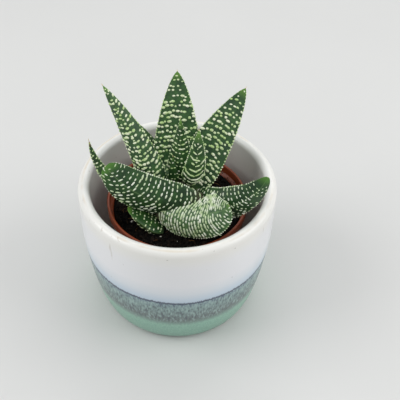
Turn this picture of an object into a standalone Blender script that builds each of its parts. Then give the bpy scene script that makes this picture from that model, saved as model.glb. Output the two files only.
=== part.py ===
"""Potted haworthia: a rosette of pearl-striped leaves rooted in its nursery pot, which stands inside
a glazed ceramic pot.

Every length below is in millimetres and every angle in degrees. Z is up, the pot stands on z = 0
with its axis on the Z axis, and -Y is the front.
"""
import math
from collections import namedtuple

import bmesh
import bpy
from mathutils import Vector

MM = 0.001
GAP = 0.3

# Ceramic pot
POT_RADIUS = 41.0
POT_BASE_RADIUS = 31.8
POT_BULGE_HEIGHT = 42.8
POT_BULGE_POWERS = (1.2, 2.27)
LIP_RADIUS = 2.4
LIP_HEIGHT = 61.8
POT_WALL = 4.8
POT_FLOOR = 5.2
FOOT_INNER, FOOT_OUTER = 22.0, 29.8
FOOT_RECESS = 1.2
POT_SEGMENTS = 48

# Nursery pot
NURSERY_RIM_RADIUS = 29.6
NURSERY_TOP = 54.2
NURSERY_BAND_HEIGHT = 4.5
NURSERY_BODY_RADIUS = 28.4
NURSERY_BASE_RADIUS = 21.6
NURSERY_WALL = 1.1
DRAIN_RADIUS = 2.6
DRAIN_CIRCLE = 12.0
DRAIN_COUNT = 5
NURSERY_SEGMENTS = 40

# Potting mix, stem and roots
SOIL_TOP = 49.6
CROWN_OUTLINE = ((2.2, 62.4), (4.2, 60.6), (5.4, 57.5), (6.4, 53.5), (8.0, 50.6), (10.5, 48.6),
                 (10.2, 46.8), (6.0, 44.6), (3.2, 40.0))
ROOT_COUNT = 5
ROOT_RADII = (2.0, 1.8, 1.4, 0.9)

# Leaf mesh density
LEAF_RINGS = 13
LEAF_SIDES = 10

Leaf = namedtuple("Leaf", "name base azimuth lift curl sweep length width thick roll twist blunt dish "
                          "bend flare flare_at flare_reach", defaults=(1.0, 0.0, 0.7, 0.2))

# base: where the blade starts; azimuth: 0 points to +X, 90 to the back; lift: angle above level;
# curl and sweep: how far lift and azimuth turn by the tip; roll and twist: turn about the midrib;
# blunt: under 1 keeps the blade broad up to its tip; dish: depth of the channel in the upper face
# bend: over 1 keeps the foot straight and curls the tip more; flare: extra reach of one margin,
# most at flare_at along the blade and fading over flare_reach
LEAVES = [
    Leaf("leaf_back", (0, 4, 57), 90, 65, 0, 0, 48, 22, 4.0, 0, 0, 0.7, 0.8),
    Leaf("leaf_left_tall", (-7.5, -1.5, 59), 170, 75, -10, -5, 54, 12.5, 4.5, 95, 25, 0.8, 0),
    Leaf("leaf_right_tall", (2.5, 2, 56), 30, 55, -5, 10, 50, 20, 4.0, 35, 0, 0.7, 0.8),
    Leaf("leaf_left_rear", (0, 4, 57), 140, 50, -5, 5, 33, 12, 3.5, 5, 0, 1.0, 0),
    Leaf("leaf_far_left", (-8.5, -0.5, 52), 195, 25, 60, -15, 47, 12, 3.5, 50, 10, 1.0, 0),
    Leaf("leaf_front_left", (10, -9, 60.5), 185, 0, 45, -20, 43, 19, 5.0, 80, 45, 0.35, 0,
         flare=0.2, flare_at=0.75),
    Leaf("leaf_front_right", (-7, -8, 56), -30, 0, 100, 10, 39, 17, 6.0, -130, -10, 0.5, 0,
         bend=2.5, flare=1.0, flare_at=0.75, flare_reach=0.25),
    Leaf("leaf_right_low", (7.5, -4.5, 57), -45, 15, 50, 55, 39.5, 15.5, 5.0, -105, 10, 0.5, 0,
         bend=1.2, flare=0.1, flare_at=0.6),
    Leaf("leaf_front_stub", (-5.5, -14, 49), 170, 30, 10, 0, 18, 11, 5.0, 10, 0, 0.3, 0),
    Leaf("leaf_inner_right", (5, -1, 63), -65, 65, 20, -15, 36, 9.5, 3.0, -20, 5, 0.75, 0),
    Leaf("leaf_inner_back", (0.5, 1, 63), 240, 100, -15, -15, 31, 11, 2.5, 30, 0, 1.0, 0.2),
    Leaf("leaf_heart", (-1.5, -2, 63), 100, 85, 0, 0, 14, 5, 2.0, 0, 0, 1.0, 0),
]
DRY_SCALES = [
    Leaf("dry_scale_right", (6, 0.5, 54), -8, 30, 15, 0, 9, 7, 0.8, -15, 0, 0.7, 0.4),
    Leaf("dry_scale_front", (-6, -4, 51), 195, 4, 12, 0, 8.5, 5, 1.0, 8, 0, 0.7, 0.2),
]

# Where two leaves meet, the outer one is moulded around the inner one
MOULDED = {
    "leaf_back": ("leaf_right_tall",),
    "leaf_left_rear": ("leaf_right_tall", "leaf_back"),
    "leaf_heart": ("leaf_inner_back",),
    "leaf_far_left": ("leaf_front_left",),
    "leaf_front_right": ("leaf_front_left",),
    "leaf_right_low": ("leaf_front_left", "leaf_front_right"),
    "leaf_front_stub": ("leaf_front_left", "leaf_front_right"),
    "dry_scale_right": ("leaf_right_tall", "leaf_right_low"),
}


def material(name, colour, roughness):
    mat = bpy.data.materials.new(name)
    mat.use_nodes = True
    shader = mat.node_tree.nodes["Principled BSDF"]
    shader.inputs["Base Color"].default_value = (*colour, 1.0)
    shader.inputs["Roughness"].default_value = roughness
    mat.diffuse_color = (*colour, 1.0)
    return mat


def mesh_object(name, points, faces, mat=None):
    """A closed object from points in millimetres; faces are turned to look outwards."""
    mesh = bpy.data.meshes.new(name)
    mesh.from_pydata([Vector(p) * MM for p in points], [], faces)
    shape = bmesh.new()
    shape.from_mesh(mesh)
    bmesh.ops.recalc_face_normals(shape, faces=shape.faces)
    if shape.calc_volume(signed=True) < 0:
        bmesh.ops.reverse_faces(shape, faces=shape.faces)
    shape.to_mesh(mesh)
    shape.free()
    mesh.shade_smooth()
    mesh.set_sharp_from_angle(angle=math.radians(40))
    obj = bpy.data.objects.new(name, mesh)
    bpy.context.scene.collection.objects.link(obj)
    if mat:
        mesh.materials.append(mat)
    return obj


def loft(rings, start=None, end=None):
    """Points and faces of a skin over equal closed rings, closed at each end by a point."""
    sides = len(rings[0])
    points = [p for ring in rings for p in ring]
    faces = []
    for i in range(len(rings) - 1):
        for j in range(sides):
            k = (j + 1) % sides
            low, high = i * sides, (i + 1) * sides
            faces += [(low + j, low + k, high + k), (low + j, high + k, high + j)]
    for cap, first in ((start, 0), (end, (len(rings) - 1) * sides)):
        points.append(cap)
        faces += [(first + j, first + (j + 1) % sides, len(points) - 1) for j in range(sides)]
    return points, faces


def circle(radius, height, segments):
    turn = 2 * math.pi / segments
    return [Vector((radius * math.cos(i * turn), radius * math.sin(i * turn), height))
            for i in range(segments)]


def turned(outline, segments):
    """Points and faces of a solid turned about Z; the outline starts and ends on the axis."""
    rings = [circle(radius, height, segments) for radius, height in outline[1:-1]]
    return loft(rings, Vector((0, 0, outline[0][1])), Vector((0, 0, outline[-1][1])))


def arc(centre, radius, start, end, steps):
    """Outline points on an arc, from angle start to angle end."""
    angles = [math.radians(start + (end - start) * i / steps) for i in range(steps + 1)]
    return [(centre[0] + radius * math.cos(a), centre[1] + radius * math.sin(a)) for a in angles]


def cut(obj, cutter_name, shape):
    """Take a shape, given as points and faces, out of an object."""
    cutter = mesh_object(f"{cutter_name}_cutter", *shape)
    add_boolean(obj, cutter, "DIFFERENCE")


def add_boolean(obj, other, operation):
    other.hide_render = True
    other.display_type = "WIRE"
    modifier = obj.modifiers.new(f"{operation.lower()}_{other.name}", "BOOLEAN")
    modifier.operation = operation
    modifier.solver = "EXACT"
    modifier.object = other


def pot_outer_radius(height):
    """Outer wall of the ceramic pot: a full rounded base that runs into a straight upper wall."""
    rise, fullness = POT_BULGE_POWERS
    share = min(height / POT_BULGE_HEIGHT, 1.0)
    swell = (1 - (1 - share) ** rise) ** (1 / fullness)
    return POT_BASE_RADIUS + (POT_RADIUS - POT_BASE_RADIUS) * swell


def ceramic_pot(mat):
    inner = POT_RADIUS - POT_WALL
    lip = (POT_RADIUS - LIP_RADIUS, LIP_HEIGHT)
    outline = [(0, FOOT_RECESS), (FOOT_INNER - 0.8, FOOT_RECESS), (FOOT_INNER, 0), (FOOT_OUTER, 0),
               (POT_BASE_RADIUS, 0.6)]
    outline += [(pot_outer_radius(z), z) for z in (2, 5, 9, 14, 20, 28, 38, 50)]
    outline += arc(lip, LIP_RADIUS, 0, 180, 6)
    outline += [(inner, 40), (pot_outer_radius(20) - POT_WALL, 20),
                (pot_outer_radius(9) - POT_WALL, 11), (28.0, POT_FLOOR + 1.2), (25.5, POT_FLOOR),
                (0, POT_FLOOR)]
    return mesh_object("ceramic_pot", *turned(outline, POT_SEGMENTS), mat)


def nursery_inner_radius(height):
    """Inside of the nursery pot's tapered wall."""
    bottom = POT_FLOOR + GAP
    share = (height - bottom) / (NURSERY_TOP - NURSERY_BAND_HEIGHT - bottom)
    return NURSERY_BASE_RADIUS + (NURSERY_BODY_RADIUS - NURSERY_BASE_RADIUS) * share - NURSERY_WALL


def nursery_pot(mat):
    bottom = POT_FLOOR + GAP
    band = NURSERY_TOP - NURSERY_BAND_HEIGHT
    inner_rim = NURSERY_RIM_RADIUS - NURSERY_WALL
    floor_top = bottom + NURSERY_WALL
    outline = [(0, bottom), (NURSERY_BASE_RADIUS - 0.8, bottom), (NURSERY_BASE_RADIUS, bottom + 0.8),
               (NURSERY_BODY_RADIUS, band), (NURSERY_RIM_RADIUS, band + 0.4),
               (NURSERY_RIM_RADIUS, NURSERY_TOP - 0.4), (NURSERY_RIM_RADIUS - 0.4, NURSERY_TOP),
               (inner_rim + 0.3, NURSERY_TOP), (inner_rim, NURSERY_TOP - 0.3),
               (inner_rim, band + 1.2), (nursery_inner_radius(band), band),
               (nursery_inner_radius(floor_top), floor_top), (0, floor_top)]
    pot = mesh_object("nursery_pot", *turned(outline, NURSERY_SEGMENTS), mat)
    for i in range(DRAIN_COUNT):
        turn = 2 * math.pi * (i + 0.37) / DRAIN_COUNT
        hole = turned([(0, bottom - 1), (DRAIN_RADIUS, bottom - 1), (DRAIN_RADIUS, floor_top + 0.1),
                       (0, floor_top + 0.1)], 12)
        centre = Vector((DRAIN_CIRCLE * math.cos(turn), DRAIN_CIRCLE * math.sin(turn), 0))
        cut(pot, f"drain_hole_{i}", ([p + centre for p in hole[0]], hole[1]))
    return pot


def crown_shape(grow=0.0):
    outline = [(0, CROWN_OUTLINE[0][1] + 0.6 + grow)]
    outline += [(radius + grow, height) for radius, height in CROWN_OUTLINE]
    return turned(outline + [(0, CROWN_OUTLINE[-1][1] - 1 - grow)], 16)


def root_shape(index, grow=0.0):
    """A fleshy root that leaves the stem sideways and bends down."""
    turn = 2 * math.pi * (index + 0.3) / ROOT_COUNT
    outward = Vector((math.cos(turn), math.sin(turn), 0))
    reach = 14 + 2 * (index % 3)
    path = [outward * 2 + Vector((0, 0, 45)), outward * 8 + Vector((0, 0, 43)),
            outward * reach + Vector((0, 0, 35)), outward * (reach + 1) + Vector((0, 0, 22))]
    rings = []
    for i, (centre, radius) in enumerate(zip(path, ROOT_RADII)):
        ahead = (path[min(i + 1, 3)] - path[max(i - 1, 0)]).normalized()
        side = ahead.cross(Vector((0, 0, 1))).normalized()
        up = side.cross(ahead)
        steps = [2 * math.pi * j / 7 for j in range(7)]
        rings.append([centre + (side * math.cos(a) + up * math.sin(a)) * (radius + grow)
                      for a in steps])
    tip = path[-1] - Vector((0, 0, 2 + grow))
    return loft(rings, path[0] - outward * (0.5 + grow), tip)


def root_crown(mat):
    crown = mesh_object("root_crown", *crown_shape(), mat)
    for i in range(ROOT_COUNT):
        add_boolean(crown, mesh_object(f"root_{i}", *root_shape(i)), "UNION")
    return crown


def potting_mix(mat, stub):
    """The mix fills the nursery pot, moulded around the stem, the roots and the buried leaf base."""
    bottom = POT_FLOOR + NURSERY_WALL + 2 * GAP
    mix_top = nursery_inner_radius(SOIL_TOP) - GAP
    outline = [(0, bottom), (nursery_inner_radius(bottom) - GAP, bottom),
               (mix_top, SOIL_TOP - 0.6), (mix_top - 1.5, SOIL_TOP), (0, SOIL_TOP)]
    mix = mesh_object("potting_mix", *turned(outline, NURSERY_SEGMENTS), mat)
    cut(mix, "mix_crown", crown_shape(GAP))
    for i in range(ROOT_COUNT):
        cut(mix, f"mix_root_{i}", root_shape(i, GAP))
    cut(mix, "mix_stub", leaf_shape(stub, GAP))
    return mix


def leaf_frames(leaf, count):
    """Points along the midrib with the blade's side and upper directions at each."""
    fine = 10
    total = (count - 1) * fine
    here = Vector(leaf.base)
    for i in range(total + 1):
        share = i / total
        bent = share ** leaf.bend
        lift = math.radians(leaf.lift + leaf.curl * bent)
        heading = math.radians(leaf.azimuth + leaf.sweep * bent)
        ahead = Vector((math.cos(lift) * math.cos(heading), math.cos(lift) * math.sin(heading),
                        math.sin(lift)))
        level = Vector((-math.sin(heading), math.cos(heading), 0))
        above = ahead.cross(level)
        roll = math.radians(leaf.roll + leaf.twist * share)
        side = level * math.cos(roll) + above * math.sin(roll)
        upper = above * math.cos(roll) - level * math.sin(roll)
        if i % fine == 0:
            yield share, here.copy(), ahead, side, upper
        here += ahead * leaf.length / total


def leaf_shape(leaf, grow=0.0):
    """A fleshy blade: flat or channelled above, rounded to a keel below, tapering to a point."""
    rings = []
    frames = list(leaf_frames(leaf, LEAF_RINGS))
    for share, centre, _ahead, side, upper in frames:
        s = min(share, 0.985)
        clasp = 0.55 + 0.45 * math.sin(min(s / 0.3, 1) * math.pi / 2)
        half = leaf.width / 2 * (1 - s ** 1.7) ** leaf.blunt * clasp + grow
        body = 0.55 + 0.45 * math.sin(min(share / 0.35, 1) * math.pi / 2)
        thick = leaf.thick * body * max(1 - share ** 2.2, 0.03) ** 0.8
        channel = leaf.dish * 2 * half / leaf.width
        flare = 1 + leaf.flare * math.exp(-((s - leaf.flare_at) / leaf.flare_reach) ** 2)
        ring = []
        for j in range(LEAF_SIDES):
            a = 2 * math.pi * j / LEAF_SIDES
            across = math.cos(a)
            reach = half * across * (flare if across < 0 else 1)
            rim = (0.22 * thick + grow) * abs(math.sin(a))
            height = rim - channel * (1 - across ** 2)
            if math.sin(a) < 0:
                keel = 0.78 * thick * (1 - abs(across) ** 1.6)
                height = -rim - keel - channel * (1 - across ** 2)
            ring.append(centre + side * reach + upper * height)
        rings.append(ring)
    start = frames[0][1] - frames[0][2] * grow
    end = frames[-1][1] + frames[-1][2] * (0.3 + grow)
    return loft(rings, start, end)


def build_leaves(green, dry):
    by_name = {leaf.name: leaf for leaf in LEAVES}
    for leaf in LEAVES + DRY_SCALES:
        blade = mesh_object(leaf.name, *leaf_shape(leaf), green if leaf in LEAVES else dry)
        if leaf.name != "leaf_front_stub":
            cut(blade, f"{leaf.name}_crown", crown_shape(GAP))
        inner = MOULDED.get(leaf.name, ())
        for name in inner:
            cut(blade, f"{leaf.name}_{name}", leaf_shape(by_name[name], GAP))


def main():
    for obj in list(bpy.data.objects):
        bpy.data.objects.remove(obj, do_unlink=True)
    glaze = material("white_glaze", (0.78, 0.79, 0.82), 0.12)
    terracotta = material("terracotta_plastic", (0.33, 0.08, 0.045), 0.5)
    peat = material("peat", (0.022, 0.016, 0.013), 0.95)
    flesh = material("root_flesh", (0.45, 0.38, 0.26), 0.7)
    green = material("leaf_green", (0.035, 0.13, 0.035), 0.4)
    dry = material("dry_leaf", (0.36, 0.28, 0.19), 0.85)
    ceramic_pot(glaze)
    nursery_pot(terracotta)
    root_crown(flesh)
    stub = next(leaf for leaf in LEAVES if leaf.name == "leaf_front_stub")
    potting_mix(peat, stub)
    build_leaves(green, dry)


main()
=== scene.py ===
"""A potted haworthia: the looks of its leaves, pots and potting mix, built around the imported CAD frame.

Lengths are in millimetres and angles in degrees, and MM turns a length into Blender's metres.
"""

import math
from collections import namedtuple

import bmesh
import bpy
import numpy as np
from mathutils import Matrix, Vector, noise
from mathutils.bvhtree import BVHTree


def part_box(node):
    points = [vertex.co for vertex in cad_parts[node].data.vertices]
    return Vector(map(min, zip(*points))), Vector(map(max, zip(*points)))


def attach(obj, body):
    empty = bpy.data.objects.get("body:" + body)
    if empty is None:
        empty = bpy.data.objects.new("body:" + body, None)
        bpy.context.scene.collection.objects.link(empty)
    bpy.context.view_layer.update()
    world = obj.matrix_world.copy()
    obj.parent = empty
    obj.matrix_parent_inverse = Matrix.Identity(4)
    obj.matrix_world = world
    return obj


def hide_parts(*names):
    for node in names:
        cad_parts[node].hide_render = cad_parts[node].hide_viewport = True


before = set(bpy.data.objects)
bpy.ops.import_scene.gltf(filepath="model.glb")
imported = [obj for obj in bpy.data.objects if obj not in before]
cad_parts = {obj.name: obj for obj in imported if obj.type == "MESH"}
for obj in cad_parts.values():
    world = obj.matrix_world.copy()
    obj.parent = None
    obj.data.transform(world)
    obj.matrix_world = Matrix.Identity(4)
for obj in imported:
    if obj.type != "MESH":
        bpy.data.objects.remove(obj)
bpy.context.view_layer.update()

MM = 0.001
UV_LAYER = "UVMap"
FACE_WIDTH = "face_width"


# -------- sizes taken from the CAD frame

def box_mm(node):
    """The lowest and highest corners of a CAD node, in millimetres."""
    low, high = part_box(node)
    return low / MM, high / MM


POT_LOW, POT_HIGH = box_mm("ceramic_pot")
NURSERY_LOW, NURSERY_HIGH = box_mm("nursery_pot")
SOIL_LOW, SOIL_HIGH = box_mm("potting_mix")

POT_RADIUS = (POT_HIGH.x - POT_LOW.x) / 2
POT_HEIGHT = POT_HIGH.z
SOIL_TOP = SOIL_HIGH.z
ROSETTE = Vector(((SOIL_LOW.x + SOIL_HIGH.x) / 2, (SOIL_LOW.y + SOIL_HIGH.y) / 2, SOIL_TOP))


# -------- node graphs written as sums

def operator(operation, swapped=False):
    """A Python operator that adds one Math node."""
    def apply(self, other):
        first, second = (other, self) if swapped else (self, other)
        return self.graph.math(operation, first, second)
    return apply


class Wire:
    """The output of a node. Sums on it add their Math nodes to its graph."""

    def __init__(self, graph, socket):
        self.graph = graph
        self.socket = socket

    __add__ = __radd__ = operator("ADD")
    __mul__ = __rmul__ = operator("MULTIPLY")
    __sub__, __rsub__ = operator("SUBTRACT"), operator("SUBTRACT", swapped=True)
    __truediv__, __rtruediv__ = operator("DIVIDE"), operator("DIVIDE", swapped=True)
    __pow__ = operator("POWER")

    def __abs__(self):
        return self.graph.math("ABSOLUTE", self)


class Graph:
    """A node tree being wired up, for a material or for Geometry Nodes."""

    def __init__(self, tree):
        self.tree = tree

    def node(self, kind, values=None, out=0, stops=None, **settings):
        """Adds a node: its settings and ramp stops first, then its sockets' values or links."""
        node = self.tree.nodes.new(kind)
        for name, value in settings.items():
            setattr(node, name, value)
        if stops:
            ramp = node.color_ramp
            while len(ramp.elements) < len(stops):
                ramp.elements.new(1.0)
            for element, (place, colour) in zip(ramp.elements, stops):
                element.position = place
                element.color = colour
        self.feed(node, values or {})
        outputs = [s for s in node.outputs if s.enabled]
        socket = outputs[out] if isinstance(out, int) else node.outputs[out]
        return Wire(self, socket)

    def feed(self, node, values):
        """Sets or links a node's input sockets, given by name or by place among those in use."""
        inputs = [s for s in node.inputs if s.enabled]
        for key, value in values.items():
            socket = inputs[key] if isinstance(key, int) else next(s for s in inputs if s.name == key)
            if isinstance(value, Wire):
                self.tree.links.new(value.socket, socket)
            else:
                socket.default_value = value

    def math(self, operation, *values):
        return self.node("ShaderNodeMath", dict(enumerate(values)), operation=operation)

    def vector(self, operation, *values, out=0):
        return self.node("ShaderNodeVectorMath", dict(enumerate(values)), out, operation=operation)

    def combine(self, x, y, z):
        return self.node("ShaderNodeCombineXYZ", {0: x, 1: y, 2: z})

    def axes(self, vector):
        """The three parts of a vector."""
        first = self.node("ShaderNodeSeparateXYZ", {0: vector})
        sockets = first.socket.node.outputs
        return [Wire(self, socket) for socket in sockets]

    def rise(self, value, low, high):
        """0 below low, 1 above high, and a smooth rise between. It falls where low is above high."""
        if low > high:
            return 1 - self.rise(value, high, low)
        return self.node("ShaderNodeMapRange", {"Value": value, "From Min": low, "From Max": high},
                         interpolation_type="SMOOTHSTEP")

    def blend(self, factor, first, second):
        """One colour turning into another."""
        return self.node("ShaderNodeMix", {"Factor": factor, "A": first, "B": second},
                         data_type="RGBA")

    def noise(self, vector, scale, detail=3.0, roughness=0.55, distortion=0.0):
        return self.node("ShaderNodeTexNoise",
                         {"Vector": vector, "Scale": scale, "Detail": detail,
                          "Roughness": roughness, "Distortion": distortion})


def tone(red, green, blue):
    """A paint colour from 0-255 display values."""
    def linear(value):
        value /= 255
        return value / 12.92 if value <= 0.04045 else ((value + 0.055) / 1.055) ** 2.4
    return (linear(red), linear(green), linear(blue), 1.0)


class Finish(Graph):
    """A material: its Principled surface, with the piece's own coordinates at hand."""

    def __init__(self, name):
        self.material = bpy.data.materials.new(name)
        self.material.use_nodes = True
        super().__init__(self.material.node_tree)
        self.surface = self.tree.nodes["Principled BSDF"]
        self.place = self.node("ShaderNodeTexCoord", out="Object")

    def bump(self, height, distance, strength=1.0):
        """A surface direction that follows a height, whose full range is distance."""
        return self.node("ShaderNodeBump",
                         {"Height": height, "Distance": distance * MM, "Strength": strength})

    def done(self, **sockets):
        """Feeds the surface. Base_Color stands for the socket Base Color."""
        self.feed(self.surface, {name.replace("_", " "): value for name, value in sockets.items()})
        return self.material


class Growth(Graph):
    """A Geometry Nodes tree with named inputs."""

    KINDS = {float: "NodeSocketFloat", int: "NodeSocketInt", str: "NodeSocketMaterial"}

    def __init__(self, name, **inputs):
        super().__init__(bpy.data.node_groups.new(name, "GeometryNodeTree"))
        sockets = self.tree.interface
        sockets.new_socket(name="Geometry", in_out="INPUT", socket_type="NodeSocketGeometry")
        sockets.new_socket(name="Geometry", in_out="OUTPUT", socket_type="NodeSocketGeometry")
        for label, kind in inputs.items():
            sockets.new_socket(name=label, in_out="INPUT", socket_type=self.KINDS[kind])
        entry = self.tree.nodes.new("NodeGroupInput")
        self.given = {s.name: Wire(self, s) for s in entry.outputs if s.name}

    def stored(self, name, kind="FLOAT"):
        return self.node("GeometryNodeInputNamedAttribute", {"Name": name}, data_type=kind)

    def store(self, geometry, name, value):
        return self.node("GeometryNodeStoreNamedAttribute",
                         {"Geometry": geometry, "Name": name, "Value": value},
                         data_type="FLOAT", domain="POINT")

    def chance(self, low, high, seed, identity=None):
        """A random number for each point, or for each identity."""
        values = {"Min": low, "Max": high, "Seed": seed}
        if identity is not None:
            values["ID"] = identity
        return self.node("FunctionNodeRandomValue", values, data_type="FLOAT")

    def spread(self, points, shape, chosen, rotation, scale, material):
        """Stands a shape on each chosen point, as one smooth mesh in one material."""
        copies = self.node("GeometryNodeInstanceOnPoints",
                           {"Points": points, "Instance": shape, "Selection": chosen,
                            "Rotation": rotation, "Scale": scale})
        plain = self.node("GeometryNodeRealizeInstances", {"Geometry": copies})
        painted = self.node("GeometryNodeSetMaterial", {"Geometry": plain, "Material": material})
        exit_node = self.tree.nodes.new("NodeGroupOutput")
        self.tree.links.new(painted.socket, exit_node.inputs[0])
        return self.tree


def linked(thing):
    """Puts an object in the scene."""
    bpy.context.scene.collection.objects.link(thing)
    return thing


def grown(tree, source, **values):
    """The plain mesh that a Geometry Nodes tree makes from a source mesh."""
    carrier = linked(bpy.data.objects.new("carrier", source))
    modifier = carrier.modifiers.new("growth", "NODES")
    modifier.node_group = tree
    keys = {item.name: item.identifier for item in tree.interface.items_tree
            if item.in_out == "INPUT"}
    for name, value in values.items():
        modifier[keys[name]] = value
    bpy.context.view_layer.update()
    seen = carrier.evaluated_get(bpy.context.evaluated_depsgraph_get())
    mesh = bpy.data.meshes.new_from_object(seen)
    carrier.modifiers.remove(modifier)
    bpy.data.objects.remove(carrier)
    finish = mesh.materials[-1]
    mesh.materials.clear()
    mesh.materials.append(finish)
    mesh.polygons.foreach_set("material_index", np.zeros(len(mesh.polygons), np.int32))
    return mesh


# -------- meshes and pieces

def smooth(mesh):
    mesh.polygons.foreach_set("use_smooth", np.ones(len(mesh.polygons), bool))
    mesh.update()
    return mesh


def closed(mesh):
    """Turns a closed mesh's faces outwards."""
    shell = bmesh.new()
    shell.from_mesh(mesh)
    bmesh.ops.recalc_face_normals(shell, faces=shell.faces)
    if shell.calc_volume(signed=True) < 0:
        bmesh.ops.reverse_faces(shell, faces=shell.faces)
    shell.to_mesh(mesh)
    shell.free()
    return smooth(mesh)


def piece(name, mesh, nodes=(), material=None):
    """A finished piece of the plant or its pots, which stands for the CAD nodes given."""
    mesh.name = name
    made = linked(bpy.data.objects.new(name, mesh))
    if material:
        mesh.materials.clear()
        mesh.materials.append(material)
    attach(made, "root")
    if nodes:
        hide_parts(*nodes)
    return made


def joined(meshes):
    """Several meshes of one material as one mesh."""
    whole = bmesh.new()
    for mesh in meshes:
        whole.from_mesh(mesh)
    result = bpy.data.meshes.new("joined")
    whole.to_mesh(result)
    whole.free()
    result.materials.append(meshes[0].materials[0])
    return smooth(result)


def arc(centre, radius, start, end, steps):
    """Points on an arc, in degrees, from start to end."""
    turns = [math.radians(start + (end - start) * i / steps) for i in range(steps + 1)]
    return [(centre[0] + radius * math.cos(t), centre[1] + radius * math.sin(t)) for t in turns]


def eased(points, step):
    """A smooth line through points, a step apart."""
    line = []
    ends = [points[0], *points, points[-1]]
    for before, start, end, after in zip(ends, ends[1:], ends[2:], ends[3:]):
        pieces = max(1, round(math.dist(start, end) / step))
        for i in range(pieces):
            t = i / pieces
            line.append(tuple(
                0.5 * (2 * b + (c - a) * t + (2 * a - 5 * b + 4 * c - d) * t * t
                       + (3 * b - a - 3 * c + d) * t ** 3)
                for a, b, c, d in zip(before, start, end, after)))
    return line + [points[-1]]


def turned(outline, segments, wobble=None):
    """A closed body turned round the upright axis. The outline starts and ends on that axis."""
    rings = outline[1:-1]
    points = [Vector((0, 0, outline[0][1]))]
    for radius, height in rings:
        for k in range(segments):
            turn = math.tau * k / segments
            point = Vector((radius * math.cos(turn), radius * math.sin(turn), height))
            points.append(wobble(point) if wobble else point)
    points.append(Vector((0, 0, outline[-1][1])))
    last = len(points) - 1
    faces = []
    for k in range(segments):
        after = (k + 1) % segments
        faces.append((0, 1 + after, 1 + k))
        for i in range(len(rings) - 1):
            low, high = 1 + i * segments, 1 + (i + 1) * segments
            faces.append((low + k, low + after, high + after, high + k))
        top = 1 + (len(rings) - 1) * segments
        faces.append((last, top + k, top + after))
    mesh = bpy.data.meshes.new("turned")
    mesh.from_pydata([p * MM for p in points], [], faces)
    return closed(mesh)


# -------- the ceramic pot

POT_BASE_RADIUS = 31.8
BULGE_HEIGHT = 42.8
BULGE_POWERS = (1.2, 2.27)
LIP_RADIUS = 2.4
POT_WALL = 4.8
POT_FLOOR = 5.2
FOOT = (22.0, 29.8, 1.2)
POT_SEGMENTS = 192
OUTLINE_STEP = 0.9


def pot_outer_radius(height):
    """The pot swells quickly above its foot and is straight under the lip."""
    up = min(height / BULGE_HEIGHT, 1)
    share = (1 - (1 - up) ** BULGE_POWERS[0]) ** (1 / BULGE_POWERS[1])
    return POT_BASE_RADIUS + (POT_RADIUS - POT_BASE_RADIUS) * share


def pot_body():
    """The turned pot, with its foot ring, rounded lip and hollow inside."""
    inner_foot, outer_foot, recess = FOOT
    lip = (POT_RADIUS - LIP_RADIUS, POT_HEIGHT - LIP_RADIUS)
    inside = POT_RADIUS - POT_WALL
    under = [(0, recess), (inner_foot - 0.8, recess), (inner_foot - 0.2, 0.6), (inner_foot + 0.4, 0)]
    foot = eased([(outer_foot - 0.6, 0), (outer_foot + 0.8, 0.15), (pot_outer_radius(0.8), 1.0)], 0.4)
    wall = [(pot_outer_radius(z), z) for z in np.arange(1.6, lip[1], OUTLINE_STEP)]
    rim = arc(lip, LIP_RADIUS, 0, 180, 24)
    bowl = eased([(inside, lip[1] - 1), (inside, 40), (pot_outer_radius(20) - POT_WALL, 20),
                  (pot_outer_radius(9) - POT_WALL, 11), (28, 6.4), (25.5, POT_FLOOR)], 1.5)
    return turned(under + foot + wall + rim + bowl + [(0, POT_FLOOR)], POT_SEGMENTS)


LINE_HEIGHT = 33.3


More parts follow.
